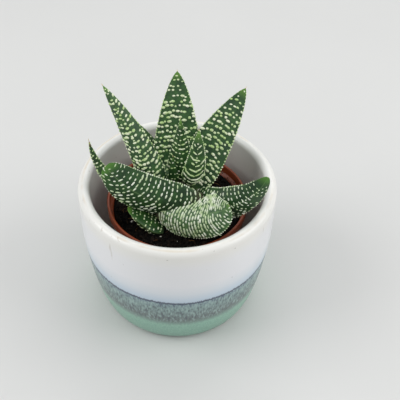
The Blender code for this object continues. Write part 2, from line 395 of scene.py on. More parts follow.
def glaze():
    """White glaze over a runny blue-grey band, with a dark line between and mint below."""
    g = Finish("reactive_glaze")
    height = g.axes(g.place)[2] / MM
    level = g.vector("MULTIPLY", g.place, (1, 1, 0.05))
    upright = g.vector("MULTIPLY", g.place, (1, 1, 0.3))
    ragged = g.noise(level, 1500, detail=3, roughness=0.7) - 0.5
    swell = g.noise(level, 45, detail=1) - 0.5
    streak = g.noise(upright, 1250, detail=2, roughness=0.6)
    speck = g.noise(g.vector("MULTIPLY", g.place, (1, 1, 0.45)), 2300, detail=1)
    cloud = g.noise(g.place, 90, detail=4)
    grain = g.noise(g.place, 1500, detail=3, roughness=0.7)

    run = height + swell * 1.2
    stops = [(0, tone(104, 150, 130)), (4, tone(118, 168, 147)), (12, tone(130, 178, 157)),
             (15, tone(137, 184, 164)), (17.5, tone(112, 140, 130)), (20.5, tone(100, 112, 112)),
             (24, tone(114, 134, 132)), (29, tone(130, 156, 154)), (33, tone(128, 150, 158)),
             (33.6, tone(186, 206, 222)), (36, tone(204, 218, 231)), (40, tone(224, 230, 236)),
             (45, tone(235, 236, 239)), (POT_HEIGHT, tone(238, 238, 238))]

    def glazed_at(level_up):
        return g.node("ShaderNodeValToRGB", {"Fac": level_up / POT_HEIGHT},
                      stops=[(place / POT_HEIGHT, colour) for place, colour in stops])

    below_line = g.rise(run, LINE_HEIGHT + 0.2, LINE_HEIGHT - 0.6)
    above = glazed_at(g.math("MAXIMUM", run, LINE_HEIGHT + 0.5))
    bands = g.blend(below_line, above, glazed_at(run + (streak - 0.5) * 4.0))
    in_band = g.rise(height, 15.5, 21) * below_line
    bands = g.blend(g.rise(streak, 0.52, 0.64) * in_band * 0.65, bands, tone(160, 188, 184))
    bands = g.blend(g.rise(streak, 0.47, 0.36) * in_band * 0.75, bands, tone(70, 84, 96))
    mint = g.rise(height, 19, 14)
    bands = g.blend(g.rise(speck, 0.52, 0.66) * mint * 0.35, bands, tone(90, 132, 116))
    bands = g.blend(g.rise(speck, 0.46, 0.34) * mint * 0.3, bands, tone(164, 206, 188))

    off_line = abs(run + ragged * 2.6 - LINE_HEIGHT)
    line = g.rise(off_line, 0.95, 0.25)
    bands = g.blend(line * 0.95, bands, tone(44, 58, 84))
    drips = g.rise(streak, 0.5, 0.4) * g.rise(run, 29.5, 32.5) * below_line
    bands = g.blend(drips * 0.6, bands, tone(72, 92, 118))

    radius = g.vector("LENGTH", g.vector("MULTIPLY", g.place, (1, 1, 0)), out="Value") / MM
    up = g.math("MINIMUM", height / BULGE_HEIGHT, 1.0)
    outline = POT_BASE_RADIUS + (POT_RADIUS - POT_BASE_RADIUS) * (
        1 - (1 - up) ** BULGE_POWERS[0]) ** (1 / BULGE_POWERS[1])
    depth = outline - radius
    warm = g.rise(height, 54, 62)
    bands = g.blend(warm * 0.6, bands, tone(240, 238, 229))
    crest = g.rise(abs(depth - 1.9 + swell * 0.8), 0.75, 0.2) * g.rise(height, 60, 62)
    worn = crest * g.rise(g.noise(g.place, 70, detail=3), 0.42, 0.6) * 0.7
    outside = g.blend(worn * 0.6, bands, tone(216, 198, 168))
    inside_wall = g.rise(depth, LIP_RADIUS - 0.2, LIP_RADIUS + 0.4) * g.rise(height, 2.5, 4.0)
    lined = g.blend(g.rise(cloud, 0.3, 0.8) * 0.3, tone(236, 236, 232), tone(216, 215, 210))
    colour = g.blend(inside_wall, outside, lined)

    rub = g.noise(g.vector("MULTIPLY", g.place, (1, 1, 0.14)), 420, detail=2)
    crack = g.rise(rub, 0.67, 0.72) * g.rise(cloud, 0.46, 0.56) * g.rise(height, 38, 43)
    colour = g.blend(crack * 0.35 * (1 - inside_wall), colour, tone(178, 168, 150))
    pit = g.rise(g.noise(g.place, 700, detail=1), 0.77, 0.82) * g.rise(height, 35, 38)
    colour = g.blend(pit * 0.5, colour, tone(120, 114, 104))
    unglazed = g.rise(height, 0.45, 0.15)
    colour = g.blend(unglazed, colour, tone(205, 190, 165))
    bump = g.bump(cloud * 0.6 + grain * 0.12 + streak * in_band * 0.4 - line * 0.3 - pit * 0.5, 0.12)
    return g.done(Base_Color=colour, Normal=bump, Coat_Weight=0.5 - unglazed * 0.5,
                  Coat_Roughness=0.1, Roughness=0.32 + cloud * 0.12 + unglazed * 0.4 + in_band * 0.08)


# -------- the nursery pot

RIM_BAND = 4.5
NURSERY_BODY_TOP = 28.4
NURSERY_BASE = 21.6
NURSERY_WALL = 1.1
NURSERY_SEGMENTS = 160
DRAIN_CIRCLE = 12
DRAIN_RADIUS = 2.6
DRAIN_COUNT = 5
DRILL_DEPTH = 6
RIM_SETTLED = 0.4
RIM_EDGE = 0.55


def nursery_body():
    """The thin moulded pot: a tapered cup with a taller band at its rim and a rolled top edge."""
    rim = (NURSERY_HIGH.x - NURSERY_LOW.x) / 2
    low, top = NURSERY_LOW.z, NURSERY_HIGH.z - RIM_SETTLED
    ledge = top - RIM_BAND
    outside = [(0, low), (NURSERY_BASE - 0.8, low), (NURSERY_BASE - 0.2, low + 0.3),
               (NURSERY_BASE, low + 0.9), (NURSERY_BODY_TOP, ledge - 0.2), (rim - 0.5, ledge),
               (rim - 0.1, ledge + 0.3), (rim, ledge + 0.8)]
    crown = arc((rim - RIM_EDGE, top - RIM_EDGE), RIM_EDGE, 0, 180, 10)
    inside = [(rim - NURSERY_WALL, ledge + 0.6), (NURSERY_BODY_TOP - NURSERY_WALL, ledge - 0.6),
              (NURSERY_BASE - NURSERY_WALL, low + 1.8), (NURSERY_BASE - NURSERY_WALL - 0.8, low + 1.1),
              (0, low + NURSERY_WALL)]
    return turned(outside + crown + inside, NURSERY_SEGMENTS)


def drilled(mesh, depth):
    """Cuts the drain holes through the floor of the nursery pot."""
    blank = linked(bpy.data.objects.new("blank", mesh))
    pins = bmesh.new()
    for i in range(DRAIN_COUNT):
        turn = math.tau * (i + 0.37) / DRAIN_COUNT
        made = bmesh.ops.create_cone(pins, segments=32, radius1=DRAIN_RADIUS * MM,
                                     radius2=DRAIN_RADIUS * MM, depth=depth * MM, cap_ends=True)
        place = Vector((math.cos(turn) * DRAIN_CIRCLE, math.sin(turn) * DRAIN_CIRCLE, NURSERY_LOW.z))
        bmesh.ops.translate(pins, verts=made["verts"], vec=place * MM)
    pin_mesh = bpy.data.meshes.new("pins")
    pins.to_mesh(pin_mesh)
    pins.free()
    pin_object = linked(bpy.data.objects.new("pins", pin_mesh))
    cut = blank.modifiers.new("holes", "BOOLEAN")
    cut.operation, cut.solver, cut.object = "DIFFERENCE", "EXACT", pin_object
    seen = blank.evaluated_get(bpy.context.evaluated_depsgraph_get())
    result = bpy.data.meshes.new_from_object(seen)
    for used in (blank, pin_object):
        bpy.data.objects.remove(used)
    return result


def nursery_plastic():
    """Red-brown moulded plastic, dusty where potting mix has dried on it."""
    g = Finish("red_brown_plastic")
    z = g.axes(g.place)[2] / MM
    dust = g.rise(g.noise(g.place, 240, detail=5, roughness=0.7), 0.48, 0.7)
    crumbs = g.rise(g.noise(g.place, 900, detail=3), 0.56, 0.66)
    colour = g.blend(g.noise(g.place, 60), tone(134, 56, 26), tone(156, 72, 36))
    colour = g.blend(dust * 0.15, colour, tone(128, 88, 62))
    near_soil = g.rise(z, SOIL_TOP + 3.0, SOIL_TOP)
    colour = g.blend(near_soil * crumbs * 0.8, colour, tone(48, 36, 26))
    return g.done(Base_Color=colour, Roughness=0.42 + dust * 0.3,
                  Normal=g.bump(dust * 0.5 + crumbs * near_soil, 0.1))


# -------- the potting mix

SOIL_SEGMENTS = 150
SOIL_STEP = 0.55
SOIL_ROUGH = 0.9
LITTER_INNER = 3.0
LITTER_EDGE = 1.2


def soil_wobble(point):
    """Lumps on the top of the mix, flat against the pot's wall."""
    radius = math.hypot(point.x, point.y)
    if point.z < SOIL_TOP - 1.5:
        return point
    clear = min(1, max(0, (SOIL_HIGH.x - 0.4 - radius) / 2))
    lumps = noise.fractal(point * 0.28, 0.8, 2.1, 4)
    return point + Vector((0, 0, (lumps * SOIL_ROUGH - 0.7) * clear))


def soil_body():
    """The mix as one body that fills the nursery pot."""
    wide = SOIL_HIGH.x - ROSETTE.x
    foot = NURSERY_BASE - NURSERY_WALL - 0.4
    top = [(wide - SOIL_STEP * i, SOIL_TOP) for i in range(int(wide / SOIL_STEP))]
    wall = eased([(foot, SOIL_LOW.z + 0.3), (wide - 0.6, SOIL_TOP - 8), (wide, SOIL_TOP - 1.0)], 3)
    return turned([(0, SOIL_LOW.z), (foot - 0.5, SOIL_LOW.z)] + wall + top[1:] + [(0, SOIL_TOP - 0.7)],
                  SOIL_SEGMENTS, soil_wobble)


def soil_finish(name, dark, light, rough=0.95):
    """Damp potting mix: dark humus with browner fibres and specks."""
    g = Finish(name)
    lumps = g.noise(g.place, 700, detail=6, roughness=0.7)
    specks = g.rise(g.noise(g.place, 2200, detail=2), 0.6, 0.7)
    colour = g.blend(g.rise(lumps, 0.35, 0.7), dark, light)
    colour = g.blend(specks * 0.2, colour, tone(70, 52, 34))
    return g.done(Base_Color=colour, Roughness=rough - specks * 0.15, Normal=g.bump(lumps, 0.6),
                  Specular_IOR_Level=0.2)


def litter_tree(name, shape):
    """Bits scattered over a surface, each one turned and stretched at random."""
    t = Growth(name, Density=float, Smallest=float, Largest=float, Flatness=float, Seed=int,
               Finish=str)
    given = t.given
    points = t.node("GeometryNodeDistributePointsOnFaces",
                    {"Mesh": given["Geometry"], "Density": given["Density"], "Seed": given["Seed"]})
    turn = t.node("FunctionNodeRandomValue",
                  {"Min": (0, 0, 0), "Max": (math.tau, math.tau, math.tau), "Seed": given["Seed"]},
                  data_type="FLOAT_VECTOR")
    size = t.chance(given["Smallest"], given["Largest"], given["Seed"] + 1)
    long = t.chance(0.8, 1.5, given["Seed"] + 2)
    scale = t.combine(size * long, size, size * given["Flatness"])
    return t.spread(points, shape(t), True, turn, scale, given["Finish"])


def crumb(t):
    return t.node("GeometryNodeMeshIcoSphere", {"Radius": 1.0, "Subdivisions": 2})


def fibre(t):
    """A bent thread with five sides."""
    line = t.node("GeometryNodeCurveArc",
                  {"Resolution": 7, "Radius": 1.0, "Start Angle": 0.0, "Sweep Angle": 1.6})
    ring = t.node("GeometryNodeCurvePrimitiveCircle", {"Resolution": 5, "Radius": 0.03})
    return t.node("GeometryNodeCurveToMesh", {"Curve": line, "Profile Curve": ring, "Fill Caps": True})


def ground(low, high):
    """The ring of soil surface, between two radii, that loose bits lie on."""
    ring = bmesh.new()
    segments, steps = 96, 10
    rows = []
    for i in range(steps + 1):
        radius = low + (high - low) * i / steps
        rows.append([ring.verts.new(soil_wobble(Vector((
            radius * math.cos(math.tau * k / segments), radius * math.sin(math.tau * k / segments),
            SOIL_TOP))) * MM) for k in range(segments)])
    for inner, outer in zip(rows, rows[1:]):
        for k in range(segments):
            after = (k + 1) % segments
            ring.faces.new((inner[k], outer[k], outer[after], inner[after]))
    mesh = bpy.data.meshes.new("ground")
    ring.to_mesh(mesh)
    ring.free()
    return mesh


# -------- the leaves

Leaf = namedtuple("Leaf", "name base azimuth lift curl sweep length width thick roll twist blunt dish"
                  " bend flare flare_at flare_reach", defaults=(1.0, 0.0, 0.7, 0.2))
# A base is measured from the middle of the mix's top. Azimuth, lift and roll are how a leaf starts,
# and sweep, curl and twist how far each turns by the tip. Bend delays the sweep and the curl. Blunt
# is low for a rounded tip, dish hollows the upper face, and flare widens one edge around flare_at.
LEAF_TABLE = [
    Leaf("leaf_back", (0, 4, 7.4), 90, 65, 0, 0, 48, 22, 4.0, 0, 0, 0.7, 0.8),
    Leaf("leaf_left_tall", (-7.5, -1.5, 9.4), 170, 75, -15, -5, 54, 12.5, 4.5, 95, 25, 0.8, 0),
    Leaf("leaf_right_tall", (2.5, 2, 6.4), 30, 55, -5, 10, 50, 20, 4.0, 35, 0, 0.7, 0.8),
    Leaf("leaf_left_rear", (0, 4, 7.4), 140, 50, -5, 5, 33, 12, 3.5, 5, 0, 1.0, 0),
    Leaf("leaf_far_left", (-8.5, -0.5, 2.4), 195, 25, 60, -15, 47, 12, 3.5, 50, 10, 1.0, 0),
    Leaf("leaf_front_left", (10, -9, 10.9), 185, 0, 45, -20, 43, 19, 5.0, 80, 45, 0.35, 0,
         flare=0.2, flare_at=0.75),
    Leaf("leaf_front_right", (-7, -8, 6.4), -30, 0, 100, 10, 39, 17, 6.0, -130, -10, 0.5, 0,
         bend=2.5, flare=1.0, flare_at=0.75, flare_reach=0.25),
    Leaf("leaf_right_low", (7.5, -4.5, 7.4), -45, 15, 50, 55, 39.5, 15.5, 5.0, -105, 10, 0.5, 0,
         bend=1.2, flare=0.1, flare_at=0.6),
    Leaf("leaf_front_stub", (-5.5, -14, -0.6), 170, 30, 10, 0, 18, 11, 5.0, 10, 0, 0.3, 0),
    Leaf("leaf_inner_right", (5, -1, 13.4), -65, 65, 20, -15, 36, 9.5, 3.0, -20, 5, 0.75, 0),
    Leaf("leaf_inner_back", (0.5, 1, 13.4), 240, 100, -15, -15, 31, 11, 2.5, 30, 0, 1.0, 0.2),
    Leaf("leaf_heart", (-1.5, -2, 13.4), 100, 85, 0, 0, 14, 5, 2.0, 0, 0, 1.0, 0),
]
SCALE_TABLE = [
    Leaf("dry_scale_right", (6, 0.5, 4.4), -8, 30, 15, 0, 9, 7, 0.8, -15, 0, 0.7, 0.4),
    Leaf("dry_scale_front", (-6, -4, 1.4), 195, 4, 12, 0, 8.5, 5, 1.0, 8, 0, 0.7, 0.2),
]
LEAF_RINGS = 72
LEAF_SIDES = 48
TIP_SHARE = 0.9965
SKIN_END = 0.97
ROUNDED = 0.6
SPINE = ((0.25, 0.17), (0.6, 0.11), (1.0, 0.04))
WAVE = 0.22


def leaf_frames(leaf, shares):
    """The centre and the ahead, side and upper directions at each share of the leaf's length."""
    place = Vector(leaf.base) + ROSETTE
    frames = []
    before = 0.0
    for share in shares:
        for s in np.linspace(before, share, 5)[1:] - (share - before) / 8:
            place = place + ahead_at(leaf, s) * (leaf.length * (share - before) / 4)
        before = share
        ahead = ahead_at(leaf, share)
        azimuth = math.radians(leaf.azimuth + leaf.sweep * share ** leaf.bend)
        level = Vector((-math.sin(azimuth), math.cos(azimuth), 0))
        above = ahead.cross(level)
        roll = math.radians(leaf.roll + leaf.twist * share)
        side = level * math.cos(roll) + above * math.sin(roll)
        upper = above * math.cos(roll) - level * math.sin(roll)
        frames.append((place, ahead, side, upper))
    return frames


def ahead_at(leaf, share):
    bent = share ** leaf.bend
    lift = math.radians(leaf.lift + leaf.curl * bent)
    azimuth = math.radians(leaf.azimuth + leaf.sweep * bent)
    return Vector((math.cos(lift) * math.cos(azimuth), math.cos(lift) * math.sin(azimuth),
                   math.sin(lift)))


def swelling(share, reach):
    """How a leaf fills out from its narrow foot over the first part of its length."""
    return 0.55 + 0.45 * math.sin(min(share / reach, 1) * math.pi / 2)


def leaf_section(leaf, share, turn):
    """A point of the leaf's cross-section: how far across, and how far above its middle plane."""
    half = leaf.width / 2 * (1 - share ** 1.7) ** leaf.blunt * swelling(share, 0.3)
    thick = leaf.thick * swelling(share, 0.35) * max(1 - share ** 2.2, 0.004) ** 0.8
    thick = min(thick, 1.2 * half)
    channel = leaf.dish * 2 * half / leaf.width
    keel = 1.9 - 0.7 * share
    across = math.cos(turn)
    flare = leaf.flare * math.exp(-((share - leaf.flare_at) / leaf.flare_reach) ** 2)
    reach = half * across * (1 + flare) if across < 0 else half * across
    rim = 0.22 * thick * abs(math.sin(turn)) ** 0.8
    dip = channel * (1 - across ** 2)
    if math.sin(turn) >= 0:
        return reach, rim - dip
    return reach, -rim - 0.78 * thick * (1 - abs(across) ** keel) - dip


def leaf_mesh(leaf, spine=True):
    """One leaf as a closed skin, with its own UV map: u round the section, v along the leaf."""
    steps = [i / (LEAF_RINGS - 1) for i in range(LEAF_RINGS)]
    shares = [TIP_SHARE * (1 - (1 - t) ** 1.5) for t in steps]
    frames = leaf_frames(leaf, shares)
    half_sides = LEAF_SIDES // 2
    turns = [math.pi - math.tau * k / LEAF_SIDES for k in range(LEAF_SIDES)]
    rings, lengths = [], []
    for share, (centre, ahead, side, upper) in zip(shares, frames):
        ring = []
        for turn in turns:
            across, above = leaf_section(leaf, share, turn)
            point = centre + side * across + upper * above
            lift = noise.noise(point * 0.16) * WAVE * leaf.thick / 4
            ring.append(point + upper * lift)
        rings.append(ring)
        lengths.append(share * SKIN_END)
    tip, ahead, side, upper = frames[-1]
    if spine:
        for k, (reach, radius) in enumerate(SPINE):
            centre = tip + ahead * reach
            rings.append([centre + side * radius * math.cos(a) + upper * radius * math.sin(a)
                          for a in turns])
            lengths.append(0.98 + 0.008 * k)
    points = [p for ring in rings for p in ring]
    foot, end = len(points), len(points) + 1
    points += [frames[0][0], tip + ahead * ((SPINE[-1][0] + 0.15) if spine else 0.1)]

    corner_u, widths = [], []
    for ring in rings:
        loop = ring + [ring[0]]
        steps_round = [0.0]
        for a, b in zip(loop, loop[1:]):
            steps_round.append(steps_round[-1] + (b - a).length)
        upper_width = steps_round[half_sides]
        under_width = steps_round[-1] - upper_width
        around = [0.5 * d / upper_width for d in steps_round[:half_sides + 1]]
        around += [0.5 + 0.5 * (d - upper_width) / under_width for d in steps_round[half_sides + 1:]]
        corner_u.append(around)
        widths += [(upper_width if 0 < k < half_sides else under_width) * MM
                   for k in range(LEAF_SIDES)]
    widths += [0.0, 0.0]

    faces, uvs = [], []
    for i in range(len(rings) - 1):
        for k in range(LEAF_SIDES):
            after = (k + 1) % LEAF_SIDES
            low, high = i * LEAF_SIDES, (i + 1) * LEAF_SIDES
            faces.append((low + k, low + after, high + after, high + k))
            uvs += [(corner_u[i][k], lengths[i]), (corner_u[i][k + 1], lengths[i]),
                    (corner_u[i + 1][k + 1], lengths[i + 1]), (corner_u[i + 1][k], lengths[i + 1])]
    top = (len(rings) - 1) * LEAF_SIDES
    for k in range(LEAF_SIDES):
        after = (k + 1) % LEAF_SIDES
        faces.append((foot, after, k))
        uvs += [(corner_u[0][k], -0.01), (corner_u[0][k + 1], 0), (corner_u[0][k], 0)]
        faces.append((end, top + k, top + after))
        uvs += [(corner_u[-1][k], 1), (corner_u[-1][k], lengths[-1]),
                (corner_u[-1][k + 1], lengths[-1])]
    mesh = bpy.data.meshes.new(leaf.name)
    mesh.from_pydata([p * MM for p in points], [], faces)
    layer = mesh.uv_layers.new(name=UV_LAYER)
    layer.data.foreach_set("uv", np.array(uvs, np.float32).ravel())
    mesh.attributes.new(FACE_WIDTH, "FLOAT", "POINT").data.foreach_set("value", widths)
    return closed(mesh)


# Pearls: the white bumps in rows across a leaf. Sizes in millimetres.
# face: the middle of the face round the section. rows: row spacing. gap: pearl spacing in a row.
# long: shortest and longest pearl, wide and high: its other sizes. bow, slant: how the rows curve
# and lean. keep: share kept. first, last: where along the leaf the rows start and end. loose: how
# far pearls stray. tip: size at the leaf's tip. bare: half the width of a bare strip on the keel.
Pearls = namedtuple("Pearls", "face rows gap long wide high bow slant keep first last loose tip bare",
                    defaults=(0.0, 0.0, 0.92, 0.05, 0.97, 0.3, 0.6, 0.0))
UPPER, UNDER, LEFT_EDGE, RIGHT_EDGE, KEEL = 0.25, 0.75, 0.004, 0.5, 0.752


def edge_row(face, gap=1.25, size=0.7, first=0.15, last=0.97, keep=0.95):
    """One line of pearls along a margin or the keel."""
    return Pearls(face, gap, 0, (size, size * 1.25), size * 0.9, 0.26, 0, 0, keep, first, last, 0.12, 0.6)


def both_edges(**changes):
    return [edge_row(LEFT_EDGE, **changes), edge_row(RIGHT_EDGE, **changes)]


ROUND = (0.7, 1.0)
FACE_UP = Pearls(UPPER, 2.0, 1.6, ROUND, 0.7, 0.26)
TALL_BACK = Pearls(UNDER, 2.1, 1.5, (0.9, 2.2), 0.85, 0.32, bow=1.2)
PEARLS = {
    "leaf_back": [Pearls(UPPER, 2.0, 1.6, (0.95, 1.9), 1.05, 0.36, bow=-0.5, loose=0.5),
                  TALL_BACK] + both_edges(),
    "leaf_left_tall": [Pearls(UNDER, 2.1, 1.7, (0.95, 1.9), 1.0, 0.36, bow=1.6, keep=0.9, loose=0.5),
                       Pearls(UPPER, 2.2, 1.6, ROUND, 0.8, 0.3)]
                      + both_edges(gap=1.5, size=0.8) + [edge_row(KEEL, gap=1.8, size=0.8, first=0.3)],
    "leaf_right_tall": [Pearls(UPPER, 2.05, 1.65, (0.95, 2.0), 1.0, 0.36, bow=-1.4, loose=0.5),
                        TALL_BACK] + both_edges(),
    "leaf_left_rear": [FACE_UP,
                       Pearls(UNDER, 2.0, 1.6, (0.8, 1.8), 0.75, 0.28, bow=1.0)] + both_edges(gap=1.6),
    "leaf_far_left": [Pearls(UNDER, 1.8, 1.5, (0.6, 1.1), 0.65, 0.26, bow=0.6, keep=0.8),
                      Pearls(UPPER, 1.9, 1.5, (0.6, 0.9), 0.6, 0.24, keep=0.8)]
                     + both_edges(gap=1.5, size=0.6) + [edge_row(KEEL, gap=1.5, size=0.65)],
    "leaf_front_left": [Pearls(UNDER, 1.95, 2.0, (1.0, 2.2), 0.64, 0.3, bow=3.6, slant=4.2, keep=0.93),
                        FACE_UP] + both_edges(gap=1.0),
    "leaf_front_right": [Pearls(UNDER, 1.3, 2.0, (1.3, 2.8), 0.74, 0.3, bow=2.0, slant=0.6, keep=0.97,
                                bare=1.1),
                         FACE_UP] + both_edges(gap=0.95),
    "leaf_right_low": [Pearls(UNDER, 1.75, 1.8, (0.7, 1.5), 0.5, 0.24, bow=2.2, slant=-1.2, keep=0.9,
                              last=0.86),
                       FACE_UP]
                      + both_edges(gap=1.1, last=0.88) + [edge_row(KEEL, first=0.2, last=0.85)],
    "leaf_front_stub": [Pearls(UPPER, 1.5, 1.8, (0.7, 1.4), 0.6, 0.24, keep=0.85, first=0.08, last=0.85),
                        Pearls(UNDER, 1.7, 1.7, (0.6, 1.2), 0.6, 0.24, last=0.8)],
    "leaf_inner_right": [Pearls(UNDER, 2.9, 1.9, (1.3, 2.9), 0.72, 0.3, bow=2.6, keep=0.9),
                         Pearls(UPPER, 2.1, 1.6, ROUND, 0.65, 0.26)]
                        + both_edges(gap=1.2, size=0.6) + [edge_row(KEEL, gap=2.0, size=0.6, first=0.5)],
    "leaf_inner_back": [Pearls(UPPER, 2.1, 1.5, (0.6, 1.0), 0.62, 0.25),
                        Pearls(UNDER, 2.1, 1.5, (0.7, 1.6), 0.62, 0.25, bow=1.0)]
                       + both_edges(gap=1.5, size=0.55),
    "leaf_heart": [Pearls(UPPER, 2.0, 1.3, (0.5, 0.8), 0.5, 0.2),
                   Pearls(UNDER, 2.0, 1.3, (0.5, 0.8), 0.5, 0.2)],
}
PEARL_SEGMENTS = 8
PEARL_RINGS = 5
PEARL_POINTS = PEARL_SEGMENTS * (PEARL_RINGS - 1) + 2
PEARL_MARGIN = 0.45
BARE_FROM = 0.62
LAST_ROW = 0.975
ROW_PROBE = 0.2
STRAY_REACH = 2
WALL_REACH = 6


def pearl_tree():
    """Rows of pearls on one face of a leaf, laid out on its UV map and turned along their row."""
    t = Growth("pearl_rows", Face=float, First=float, Last=float, Rows=int, Across=int, Gap=float,
               Shortest=float, Longest=float, Width=float, Height=float, Bow=float, Slant=float,
               Keep=float, Loose=float, Tip_Size=float, Bare=float, Edge=float, Leaf_Length=float,
               Seed=int, Finish=str)
    v = t.given
    sheet = t.node("GeometryNodeMeshGrid",
                   {"Size X": v["Gap"] * (v["Across"] - 1), "Size Y": 1.0,
                    "Vertices X": v["Across"], "Vertices Y": v["Rows"]})
    x, y, _ = t.axes(t.node("GeometryNodeInputPosition"))
    row = t.math("ROUND", (y + 0.5) * (v["Rows"] - 1))
    shift = t.chance(-0.5, 0.5, v["Seed"], row) * v["Gap"]
    stray = t.chance(-0.5, 0.5, v["Seed"] + 1) * v["Gap"] * v["Loose"]
    drift = t.chance(-0.25, 0.25, v["Seed"] + 2, row) * v["Loose"]
    jump = t.chance(-0.5, 0.5, v["Seed"] + 3) * v["Loose"]
    row_share = (y + 0.5) + (drift + jump) / v["Rows"]
    sheet = t.store(sheet, "sideways", x + shift + stray)
    sheet = t.store(sheet, "lengthways", v["First"] + (v["Last"] - v["First"]) * row_share)
    sideways, lengthways = t.stored("sideways"), t.stored("lengthways")

    def on_leaf(value, uv, kind):
        return t.node("GeometryNodeSampleUVSurface",
                      {"Mesh": v["Geometry"], "Value": value, "UV Map": t.stored(UV_LAYER, "FLOAT_VECTOR"),
                       "Sample UV": uv}, data_type=kind)

    middle = t.combine(v["Face"], lengthways, 0.0)
    width = on_leaf(t.stored(FACE_WIDTH), middle, "FLOAT")

    def row_uv(offset):
        """Where a point a little along the row lies on the UV map."""
        reach = (sideways + offset) / width
        bend = (v["Bow"] * reach * reach * 4 + v["Slant"] * reach * 2) / v["Leaf_Length"]
        around = t.math("MINIMUM", t.math("MAXIMUM", v["Face"] + reach * 0.5, 0.001), 0.999)
        return t.combine(around, t.math("MINIMUM", lengthways + bend, LAST_ROW), 0.0)

    where = t.node("GeometryNodeInputPosition")
    centre = on_leaf(where, row_uv(0.0), "FLOAT_VECTOR")
    along_row = t.vector("SUBTRACT", on_leaf(where, row_uv(ROW_PROBE * MM), "FLOAT_VECTOR"),
                         on_leaf(where, row_uv(-ROW_PROBE * MM), "FLOAT_VECTOR"))
    outwards = on_leaf(t.node("GeometryNodeInputNormal"), row_uv(0.0), "FLOAT_VECTOR")
    turn = t.node("FunctionNodeAxesToRotation", {"Primary Axis": outwards, "Secondary Axis": along_row},
                  primary_axis="Z", secondary_axis="X")
    size = t.chance(0.85, 1.3, v["Seed"] + 4)
    size = size * (1 - (1 - v["Tip_Size"]) * t.rise(lengthways, 0.6, 1.0))
    length = t.chance(v["Shortest"], v["Longest"], v["Seed"] + 5)
    scale = t.combine(size * length / 2, size * v["Width"] / 2, size * v["Height"])
    inside = t.math("GREATER_THAN", width / 2 - v["Edge"], abs(sideways))
    lucky = t.math("LESS_THAN", t.chance(0.0, 1.0, v["Seed"] + 6), v["Keep"])
    on_keel = t.math("LESS_THAN", abs(sideways), v["Bare"]) * t.math("GREATER_THAN", lengthways, BARE_FROM)
    placed = t.node("GeometryNodeSetPosition", {"Geometry": sheet, "Position": centre})
    pearl = t.node("GeometryNodeMeshUVSphere",
                   {"Segments": PEARL_SEGMENTS, "Rings": PEARL_RINGS, "Radius": 1.0})
    return t.spread(placed, pearl, inside * lucky * (1 - on_keel), turn, scale, v["Finish"])


def pearl_rows(tree, leaf, skin, pearls, seed, material):
    """One set of pearls as a plain mesh."""
    span = (pearls.last - pearls.first) * leaf.length
    across = 1 if not pearls.gap else 2 * round(leaf.width * 0.75 / pearls.gap) + 1
    return grown(tree, skin, Face=pearls.face, First=pearls.first * SKIN_END, Last=pearls.last * SKIN_END,
                 Rows=max(2, round(span / pearls.rows)), Across=across, Gap=pearls.gap * MM,
                 Shortest=pearls.long[0] * MM, Longest=pearls.long[1] * MM, Width=pearls.wide * MM,
                 Height=pearls.high * MM, Bow=pearls.bow * MM, Slant=pearls.slant * MM,
                 Keep=pearls.keep, Loose=pearls.loose, Tip_Size=pearls.tip, Bare=pearls.bare * MM,
                 Edge=PEARL_MARGIN * MM if pearls.gap else 0.0, Leaf_Length=leaf.length * MM, Seed=seed,
                 Finish=material)


def clear_of(mesh, own, walls):
    """Takes away pearls that sit inside another leaf, or that missed their own."""
    points = np.empty(len(mesh.vertices) * 3, np.float32)
    mesh.vertices.foreach_get("co", points)
    centres = points.reshape(-1, PEARL_POINTS, 3).mean(axis=1)
    buried = set()
    for i, centre in enumerate(centres):
        if own.find_nearest(Vector(centre), STRAY_REACH * MM)[0] is None:
            buried.add(i)
            continue
        for wall in walls:
            near, outwards, _, _ = wall.find_nearest(Vector(centre), WALL_REACH * MM)
            if near is not None and (Vector(centre) - near).dot(outwards) < 0:
                buried.add(i)
                break
    if buried:
        shell = bmesh.new()
        shell.from_mesh(mesh)
        shell.verts.ensure_lookup_table()
        gone = [shell.verts[i * PEARL_POINTS + k] for i in buried for k in range(PEARL_POINTS)]
        bmesh.ops.delete(shell, geom=gone, context="VERTS")
        shell.to_mesh(mesh)
        shell.free()
    return mesh


def leaf_skin(name, dark, fresh, tip, base, tip_start=0.8, edge=tone(120, 150, 96)):
    """Firm green leaf skin, with a pale margin, a fresher tip and a browner foot."""
    g = Finish(name)
    u, v, _ = g.axes(g.node("ShaderNodeUVMap", uv_map=UV_LAYER))
    mottle = g.noise(g.place, 320, detail=4, roughness=0.6)
    veins = g.noise(g.combine(u * 60, v * 2.5, 0.0), 1.0, detail=3)
    pores = g.noise(g.place, 4200, detail=2)
    colour = g.blend(g.rise(mottle, 0.3, 0.75), dark, fresh)
    colour = g.blend(g.rise(veins, 0.5, 0.75) * 0.35, colour, fresh)
    colour = g.blend(g.rise(v, tip_start, 0.97) * 0.8, colour, tip)
    from_edge = g.math("MINIMUM", abs(u - 0.5), g.math("MINIMUM", u, 1 - u))
    colour = g.blend(g.rise(from_edge, 0.014, 0.003) * 0.6, colour, edge)
    ridge = g.rise(abs(u - 0.75), 0.012, 0.002) * g.rise(v, 0.35, 0.7)
    colour = g.blend(ridge * 0.45, colour, edge)
    foot = g.rise(v + mottle * 0.08, 0.17, 0.05)
    colour = g.blend(foot * 0.8, colour, base)
    colour = g.blend(g.rise(v, 0.972, 0.982), colour, tone(214, 196, 150))
    return g.done(Base_Color=colour, Roughness=0.42 + mottle * 0.16 + foot * 0.2,
                  Normal=g.bump(mottle * 0.5 + veins * 0.3 + pores * 0.2, 0.12),
                  Subsurface_Weight=0.08, Subsurface_Radius=(0.001, 0.002, 0.0006),
                  Subsurface_Scale=0.6, Specular_IOR_Level=0.45)


